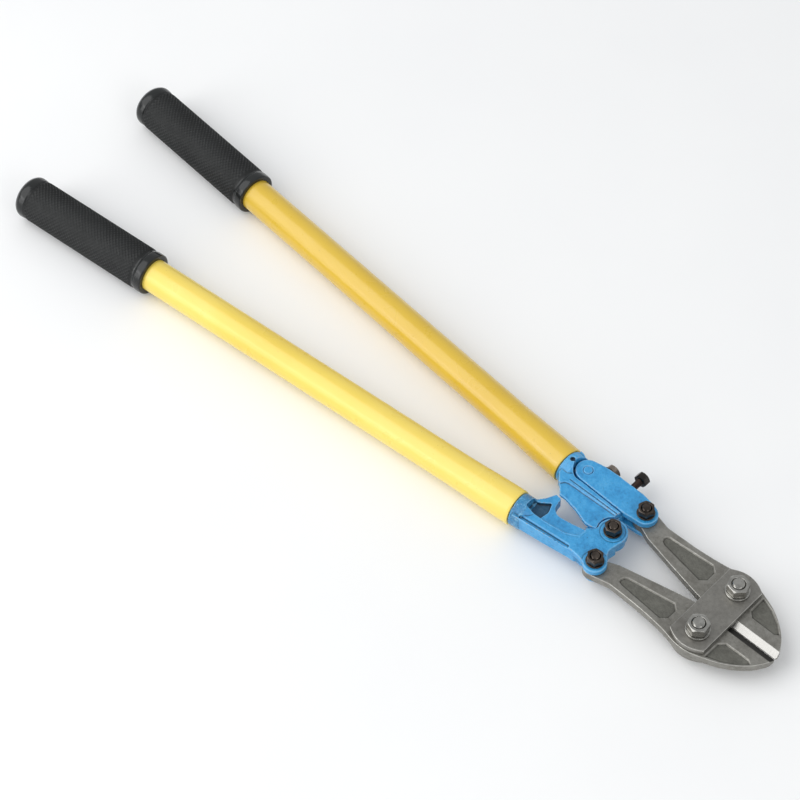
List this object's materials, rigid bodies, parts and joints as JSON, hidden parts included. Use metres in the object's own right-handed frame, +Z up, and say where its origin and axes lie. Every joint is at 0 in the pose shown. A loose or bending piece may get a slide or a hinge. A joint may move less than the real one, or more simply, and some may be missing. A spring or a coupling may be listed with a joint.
{
  "type": "bolt cutters",
  "caption": "Long-handled bolt cutters with compound levers, forged centre-cut jaws held by two straps, an adjusting link, tubular handles and moulded grips.",
  "frame": {"origin": "on the surface the closed tool lies on, under the middle of its bounding box", "axes": "+X along the tool towards the jaw tips, +Y from the lower handle towards the upper handle that carries the adjusting link, +Z up out of the surface, along every main pivot"},
  "size_m": [0.6111, 0.1466, 0.0321],
  "materials": {
    "blue_paint": "satin enamel over a sand-cast surface",
    "yellow_paint": "smooth gloss enamel",
    "black_grip": "moulded, fine diamond knurl, glossier end ring",
    "forged_steel": "phosphated forging with ground cutting bevels",
    "plain_steel": "oiled plain steel",
    "black_oxide": "blackened, oiled"
  },
  "bodies": {
    "straps": {"top_strap": "forged_steel", "bottom_strap": "forged_steel", "lower_jaw_bolt": "plain_steel", "lower_jaw_washer": "plain_steel", "lower_jaw_nut": "plain_steel", "upper_jaw_bolt": "plain_steel", "upper_jaw_washer": "plain_steel", "upper_jaw_nut": "plain_steel"},
    "lower_jaw": {"lower_jaw": "forged_steel"},
    "upper_jaw": {"upper_jaw": "forged_steel"},
    "lower_handle": {"lower_lever": "blue_paint", "lower_handle_tube": "yellow_paint", "lower_grip": "black_grip", "lower_tail_bolt": "black_oxide", "lower_tail_washer": "black_oxide", "lower_tail_nut": "black_oxide", "centre_bolt": "black_oxide", "centre_washer": "black_oxide", "centre_nut": "black_oxide"},
    "link": {"adjusting_link": "blue_paint", "link_pin": "blue_paint", "upper_tail_bolt": "black_oxide", "upper_tail_washer": "black_oxide", "upper_tail_nut": "black_oxide"},
    "upper_handle": {"upper_lever": "blue_paint", "upper_handle_tube": "yellow_paint", "upper_grip": "black_grip", "upper_set_pin": "plain_steel", "lock_bolt": "black_oxide", "lock_washer": "black_oxide"},
    "adjuster": {"adjusting_screw": "black_oxide"}
  },
  "joints": [
    {"name": "lower_jaw_swing", "type": "hinge", "parent": "straps", "child": "lower_jaw", "pos_m": [0.2601, -0.0193, 0.0152], "axis": [0, 0, -1], "range_deg": [0, 6.3]},
    {"name": "upper_jaw_swing", "type": "hinge", "parent": "straps", "child": "upper_jaw", "pos_m": [0.2601, 0.0193, 0.0152], "axis": [0, 0, 1], "range_deg": [0, 6.3]},
    {"name": "handles_open", "type": "hinge", "parent": "lower_jaw", "child": "lower_handle", "pos_m": [0.1816, -0.0246, 0.0152], "axis": [0, 0, 1], "range_deg": [0, 46.24]},
    {"name": "upper_handle_swing", "type": "hinge", "parent": "upper_jaw", "child": "link", "pos_m": [0.1816, 0.0246, 0.0152], "axis": [0, 0, -1], "range_deg": [0, 46.3]},
    {"name": "jaw_adjustment", "type": "hinge", "parent": "link", "child": "upper_handle", "pos_m": [0.1332, 0.0252, 0.0152], "axis": [0, 0, 1], "range_deg": [-0.36, 0.36]},
    {"name": "adjusting_screw_turn", "type": "hinge", "parent": "link", "child": "adjuster", "pos_m": [0.16, 0.04, 0.0152], "axis": [0, 1, 0], "range_deg": [-75.9, 75.9]}
  ],
  "couplings": [
    {"joint": "lower_jaw_swing", "follows": "handles_open", "ratio": 0.135},
    {"joint": "upper_jaw_swing", "follows": "handles_open", "ratio": 0.135},
    {"joint": "upper_handle_swing", "follows": "handles_open", "ratio": 1},
    {"joint": "adjusting_screw_turn", "follows": "jaw_adjustment", "ratio": 210}
  ]
}
